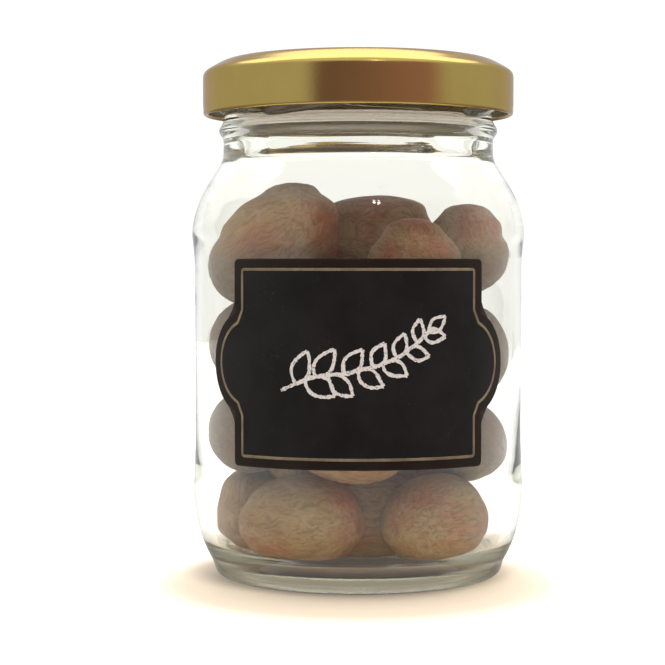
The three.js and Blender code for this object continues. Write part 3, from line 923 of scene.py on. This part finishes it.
def makeSeatMesh(nutmegs):
    # one point for each nutmeg, with how it lies, its size and its own number
    mesh = newMesh("nutmegs", [tuple(pointOn(one, 0.5) * mm) for one in nutmegs], [], [])
    lies, sizes = [], []
    for i, one in enumerate(nutmegs):
        axis = Vector(one["end"] - one["start"])
        roll = Matrix.Rotation(i * nutmegForm["spinStep"], 3, "Z")
        lies.append(tuple((axis.to_track_quat("Z", "Y").to_matrix() @ roll).to_euler()))
        sizes.append((one["shortHalf"] * mm, one["shortHalf"] * mm, one["longHalf"] * mm))
    addAttribute(mesh, "lie", lies)
    addAttribute(mesh, "size", sizes)
    addAttribute(mesh, "number", range(1, len(nutmegs) + 1))
    return mesh


def ownPlace(tree, place, number):
    # the place on one nutmeg, moved so that no two nutmegs share a pattern
    shift = times(tree, number, nutmegForm["apart"])
    apart = addNode(tree, "ShaderNodeCombineXYZ", {0: shift, 1: shift, 2: shift}).outputs[0]
    return vectorMaths(tree, "ADD", place, apart), apart


def furrowDepth(tree, place, apart):
    # 1 in the middle of the branching lengthwise furrows, 0 between them; shape and colour share it
    long = vectorMaths(tree, "MULTIPLY", place, (3.1, 3.1, 1.15))
    veins = grain(tree, vectorMaths(tree, "ADD", long, apart), 1.45, 2.5, 0.55, 0.7)
    away = maths(tree, "ABSOLUTE", maths(tree, "SUBTRACT", veins, 0.5))
    return ramp(tree, away, 0.0, 0.06, 1.0, 0.0)


def makeNutmegTree():
    # sets a nutmeg at each seat, then gives every one its own lumps and furrows
    tree, given, result = newGroup("nutmegHeap", "GeometryNodeTree", {
        "Seats": "Geometry", "Nutmeg": "Object", "Furrow": 0.0002, "Lump": 0.0004, "Material": "Material"},
        {"Nutmegs": "Geometry"})
    tree.is_modifier = True

    def named(name, kind="FLOAT_VECTOR"):
        return usedOutput(addNode(tree, "GeometryNodeInputNamedAttribute", {"Name": name}, data_type=kind))

    model = addNode(tree, "GeometryNodeObjectInfo", {"Object": given["Nutmeg"]})
    lie = addNode(tree, "FunctionNodeEulerToRotation", {0: named("lie")})
    placed = geometryStep(tree, "InstanceOnPoints", {
        "Points": given["Seats"], "Instance": model.outputs["Geometry"],
        "Rotation": lie.outputs[0], "Scale": named("size")})
    real = geometryStep(tree, "RealizeInstances", {"Geometry": placed})
    place = named("shellPlace")
    own, apart = ownPlace(tree, place, named("number", "FLOAT"))
    sunk = times(tree, furrowDepth(tree, place, apart), given["Furrow"])
    lumps = maths(tree, "SUBTRACT", grain(tree, own, 1.3, 1.0), 0.55)
    swell = times(tree, lumps, given["Lump"])
    outward = addNode(tree, "ShaderNodeVectorMath", {
        0: geometryStep(tree, "InputNormal"),
        "Scale": maths(tree, "SUBTRACT", swell, sunk)}, operation="SCALE")
    moved = geometryStep(tree, "SetPosition", {"Geometry": real, "Offset": outward.outputs[0]})
    finishGeometry(tree, moved, given["Material"], result["Nutmegs"])
    return tree


def makeNutmegMaterial():
    look = shellLook
    material, tree = newMaterial("nutmegShell")
    place = addNode(tree, "ShaderNodeAttribute", attribute_name="shellPlace").outputs["Vector"]
    number = addNode(tree, "ShaderNodeAttribute", attribute_name="number").outputs["Fac"]
    own, apart = ownPlace(tree, place, number)
    groove = furrowDepth(tree, place, apart)
    warped = vectorMaths(tree, "MULTIPLY", grain(tree, own, 2.2, 1.0, output="Color"), (0.5, 0.5, 0.5))
    bent = vectorMaths(tree, "ADD", warped, place)
    fine = vectorMaths(tree, "ADD", vectorMaths(tree, "MULTIPLY", bent, (17.0, 17.0, 3.0)), apart)
    fibres = grain(tree, fine, 1.0, 4.0, 0.62)
    tan = mottled(tree, own, 1.5)
    rust = mottled(tree, vectorMaths(tree, "ADD", own, (31.0, 5.0, 9.0)), 0.95, low=-0.5, high=0.9)
    inJar = objectPlace(tree)
    # ruddier spots by place in the jar: partly own rust, partly painted shade and painted warm light
    for spot, reach in look["ruddyShadeAndLight"]:
        away = lengthOf(tree, vectorMaths(tree, "SUBTRACT", inJar, tuple(Vector(spot) * mm)))
        rust = maths(tree, "MAXIMUM", rust, rampMm(tree, away, (0.0, reach), 0.95, 0.0))
    shell = mixColours(tree, tan, look["brown"], look["tan"])
    rusty = mixColours(tree, maths(tree, "MAXIMUM", rust, 0.0), shell, look["rust"])
    streaked = mixColours(tree, ramp(tree, fibres, 0.38, 0.55, 0.42, 0.0), rusty, look["streak"])
    furrowed = mixColours(tree, times(tree, groove, 0.2), streaked, look["furrow"])
    bloom = maths(tree, "MAXIMUM", mottled(tree, own, 2.4, 5.0, -0.3, 0.3), 0.0)
    dry = times(tree, bloom, maths(tree, "SUBTRACT", 1.0, groove))
    limed = mixColours(tree, dry, furrowed, look["lime"])
    # painted shade: nutmegs towards the jar's sides, between these heights, are darkened
    across, _, up = splitPlace(tree, inJar)
    outer = rampMm(tree, maths(tree, "ABSOLUTE", across), look["sideShadeOutside"], 0.0, look["sideShadeShare"])
    lower = rampMm(tree, up, look["sideShadeBelow"], 1.0, 0.0)
    upper = rampMm(tree, up, look["sideShadeAbove"])
    share = times(tree, outer, times(tree, lower, upper))
    ridges = maths(tree, "MULTIPLY_ADD", fibres, 1.6, grain(tree, own, 24.0, 4.0, 0.6))
    height = maths(tree, "SUBTRACT", ridges, times(tree, groove, 0.5))
    return finishedPlain(material, {
        "Base Color": mixColours(tree, share, limed, look["sideShade"]),
        "Roughness": ramp(tree, tan, 0.0, 1.0, 0.5, 0.68), "Specular IOR Level": 0.3,
        "Normal": bumpNormal(tree, 0.32, 0.0004, height)})


seated = settledNutmegs() + [seatedNutmeg(*seat) for seat in innerSeats]
print("nutmegs settled:", len(seated))
plainNutmeg = linkObject("plainNutmeg", makePlainNutmeg())
nutmegHeap = linkObject("nutmegHeap", makeSeatMesh(seated))
runNodes(nutmegHeap, makeNutmegTree(), {
    "Nutmeg": plainNutmeg, "Furrow": nutmegForm["furrow"] * mm, "Lump": nutmegForm["lump"] * mm,
    "Material": makeNutmegMaterial()})
bpy.data.objects.remove(plainNutmeg)
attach(nutmegHeap, "root")
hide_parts("nutmegs")
print("nutmegs made:", len(nutmegHeap.data.polygons), "faces")


stageForm = {
    "floorReach": 2.5, "floorLevel": -0.0001,  # metres, just clear of the jar's foot
    # painted shadow: the floor near the jar takes a warm colour for the jar's warm shadow, and is pale
    # beyond
    "paleFloor": (0.95, 0.95, 0.94, 1), "warmShadowFloor": [(0.95, 0.78, 0.59, 1), (0.97, 0.80, 0.61, 1)],
    "warmShadowFrom": 0.034, "warmShadowTo": 0.052, "warmShadowOffset": (0.0, 0.008, 0.0),  # metres, towards the front
    "warmShadowWidth": (1.13, 1.0, 1.0),  # how much narrower the painted warm shadow is from side to side
    "nearGlow": 0.09, "floorGlow": 0.45,  # how far the floor is over-lit near the jar and away from it
    "contactCentre": (-0.0015, 0.005, 0.0), "contactFrom": 0.025, "contactTo": 0.0325, "contactShade": 0.5,
    "throughGlass": 1.15,  # how bright the floor is through the glass
    "softSky": 1.0, "sideSky": 0.15, "seenSky": 1.06,  # how bright the white surroundings light and look
    "ringSides": 96, "ringRadius": 0.9, "ringLow": -0.9, "ringHigh": 0.85, "fadeFrom": 0.45,  # metres
    "darkFrom": -33, "darkTo": 60, "edge": 15, "farEdge": 24,  # degrees round from the front
    "behindFrom": 120, "behindTo": 150,  # degrees to either side
    "darkRoom": [(0.22, 0.15, 0.19, 1), (0.44, 0.26, 0.33, 1)], "roomThroughGlass": (0.31, 0.28, 0.25, 1),
    "sides": (0.66, 0.66, 0.65, 1), "behind": (1.06, 1.06, 1.05, 1), "ground": (0.40, 0.34, 0.29, 1),
    "mirroredBehind": 0.72, "highBehind": 1.7,  # how bright the far side is in the gold, and higher up
}


def makeFloorMaterial():
    form = stageForm
    material, tree = newMaterial("paleFloor")
    place = objectPlace(tree)
    rays = addNode(tree, "ShaderNodeLightPath").outputs
    # painted shadow: warm near the jar, pale beyond
    warm = mixColours(tree, mottled(tree, place, 12.0), *form["warmShadowFloor"])
    spot = vectorMaths(tree, "MULTIPLY_ADD", place, form["warmShadowWidth"], form["warmShadowOffset"])
    beyond = ramp(tree, lengthOf(tree, spot), form["warmShadowFrom"], form["warmShadowTo"])
    near = lengthOf(tree, vectorMaths(tree, "SUBTRACT", place, form["contactCentre"]))
    shade = ramp(tree, near, form["contactFrom"], form["contactTo"], form["contactShade"], 1.0)
    dimmed = ramp(tree, rays["Is Transmission Ray"], 0.0, 1.0, 1.0, form["throughGlass"], "LINEAR")
    colour = mixColours(tree, beyond, warm, form["paleFloor"])
    lit = ramp(tree, beyond, 0.0, 1.0, form["nearGlow"], form["floorGlow"], "LINEAR")
    return finishedPlain(material, {
        "Base Color": mixColours(tree, times(tree, shade, dimmed), black, colour),
        "Roughness": 0.6, "Specular IOR Level": 0.3, "Emission Color": (1.0, 1.0, 1.0, 1),
        "Emission Strength": times(tree, lit, rays["Is Camera Ray"])})


def makeFloor():
    reach, level = stageForm["floorReach"], stageForm["floorLevel"]
    signs = ((-1, -1), (1, -1), (1, 1), (-1, 1))
    mesh = newMesh("floor", [(x * reach, y * reach, level) for x, y in signs], [], [(0, 1, 2, 3)])
    floor = linkObject("floor", mesh, makeFloorMaterial())
    floor.visible_glossy = False
    return floor


def makeRingMaterial():
    # what the gold and the glass mirror: a dark room in front, grey to the sides, white behind
    form = stageForm
    material, tree = newMaterial("roomRing")
    x, y, up = splitPlace(tree, objectPlace(tree))
    angle = maths(tree, "ARCTAN2", x, times(tree, y, -1.0))
    dark = [math.radians(form[key]) for key in ("darkFrom", "darkTo", "edge", "farEdge")]
    left = ramp(tree, angle, dark[0] - dark[2] / 2, dark[0] + dark[2] / 2)
    right = ramp(tree, angle, dark[1] - dark[3] / 2, dark[1] + dark[3] / 2, 1.0, 0.0)
    mirrored = mixColours(tree, ramp(tree, angle, dark[0], dark[1]), *form["darkRoom"])
    through = addNode(tree, "ShaderNodeLightPath").outputs["Is Transmission Ray"]
    room = mixColours(tree, through, mirrored, form["roomThroughGlass"])
    sides = mixColours(tree, times(tree, left, right), form["sides"], room)
    behind = ramp(tree, maths(tree, "ABSOLUTE", angle), math.radians(form["behindFrom"]),
                  math.radians(form["behindTo"]))
    high = ramp(tree, up, 0.15, 0.45, 1.0, form["highBehind"])
    seen = maths(tree, "MULTIPLY_ADD", through, maths(tree, "SUBTRACT", high, form["mirroredBehind"]),
                 form["mirroredBehind"])
    strength = maths(tree, "MULTIPLY_ADD", behind, maths(tree, "SUBTRACT", seen, 1.0), 1.0)
    upwards = ramp(tree, up, form["fadeFrom"], form["ringHigh"])
    colour = mixColours(tree, maths(tree, "MAXIMUM", behind, upwards), sides, form["behind"])
    above = ramp(tree, up, -0.3, -0.05)
    glow = addNode(tree, "ShaderNodeEmission", {
        "Color": mixColours(tree, above, form["ground"], colour), "Strength": strength})
    return finished(material, glow.outputs[0])


def makeRing():
    form, sides = stageForm, stageForm["ringSides"]
    vertices, faces = [], []
    for k in range(sides):
        angle = 2 * math.pi * k / sides
        x, y = form["ringRadius"] * math.cos(angle), form["ringRadius"] * math.sin(angle)
        vertices += [(x, y, form["ringLow"]), (x, y, form["ringHigh"])]
        n = (k + 1) % sides
        faces.append((2 * k, 2 * k + 1, 2 * n + 1, 2 * n))
    ring = linkObject("roomRing", newMesh("roomRing", vertices, [], faces), makeRingMaterial())
    ring.visible_camera = ring.visible_diffuse = ring.visible_shadow = False
    return ring


def makeSky():
    # bright white where it is seen, mirrored or seen through glass, and softer as a light
    world = bpy.data.worlds.new("sky")
    world.use_nodes = True
    tree = world.node_tree
    tree.nodes.clear()
    rays = addNode(tree, "ShaderNodeLightPath").outputs
    seen = maths(tree, "MAXIMUM", rays["Is Camera Ray"],
                 maths(tree, "MAXIMUM", rays["Is Glossy Ray"], rays["Is Transmission Ray"]))
    towards = splitPlace(tree, addNode(tree, "ShaderNodeTexCoord").outputs["Generated"])
    side = maths(tree, "ABSOLUTE", towards[0])
    soft = ramp(tree, side, 0.35, 0.9, stageForm["softSky"], stageForm["sideSky"])
    strength = ramp(tree, seen, 0.0, 1.0, soft, stageForm["seenSky"], "LINEAR")
    glow = addNode(tree, "ShaderNodeBackground", {"Color": (1.0, 1.0, 1.0, 1), "Strength": strength})
    addNode(tree, "ShaderNodeOutputWorld", {"Surface": glow.outputs[0]})
    scene.world = world


lightForm = {
    "target": (0, 0, 0.05), "white": (1.0, 0.985, 0.96), "warm": (1.0, 0.9, 0.82),
    "day": 0.8, "dayPlace": (0.1, 0.3, 1.0), "daySpread": 40,  # watts a square metre, metres, degrees
    "overhead": 10.5, "overheadPlace": (0.0, 0.3, 0.95), "overheadSize": (2.4, 1.0),  # watts and metres
    "glint": 0.035, "glintPlace": (0.14, -0.55, 0.47), "glintSize": (0.024, 0.024), "glintsApart": 0.017,
}


def addLight(name, kind, place, power, colour):
    light = bpy.data.lights.new(name, kind)
    light.energy, light.color = power, colour
    holder = bpy.data.objects.new(name, light)
    holder.location = place
    towards = Vector(lightForm["target"]) - Vector(place)
    holder.rotation_euler = towards.to_track_quat("-Z", "Y").to_euler()
    scene.collection.objects.link(holder)
    return holder


def addLamp(name, place, size, power, colour):
    lamp = addLight(name, "AREA", place, power, colour)
    lamp.data.shape = "ELLIPSE"
    lamp.data.size, lamp.data.size_y = size


def makeLights():
    form = lightForm
    daylight = addLight("daylight", "SUN", form["dayPlace"], form["day"], form["white"])
    daylight.data.angle = math.radians(form["daySpread"])
    daylight.visible_glossy = False
    addLamp("overhead", form["overheadPlace"], form["overheadSize"], form["overhead"], form["white"])
    across, back, up = form["glintPlace"]
    for name, side in (("glintLeft", -1), ("glintRight", 1)):
        place = (across + side * form["glintsApart"], back, up)
        addLamp(name, place, form["glintSize"], form["glint"], form["warm"])


makeFloor()
makeRing()
makeSky()
makeLights()
print("stage ready")


cameraForm = {
    "distance": 0.351, "height": 0.0561,  # metres from the jar's axis and above its base
    "tilt": 1.954, "pan": 0.761,  # degrees down and to the left
    "focalPixels": 1920, "imagePixels": 665,
}
camera = bpy.data.cameras.new("camera")
camera.sensor_width = 36
camera.lens = camera.sensor_width * cameraForm["focalPixels"] / cameraForm["imagePixels"]
camera.clip_start, camera.clip_end = 0.01, 20
cameraHolder = bpy.data.objects.new("camera", camera)
cameraHolder.location = (0, -cameraForm["distance"], cameraForm["height"])
cameraHolder.rotation_euler = (math.radians(90 - cameraForm["tilt"]), 0, math.radians(cameraForm["pan"]))
scene.collection.objects.link(cameraHolder)
scene.camera = cameraHolder
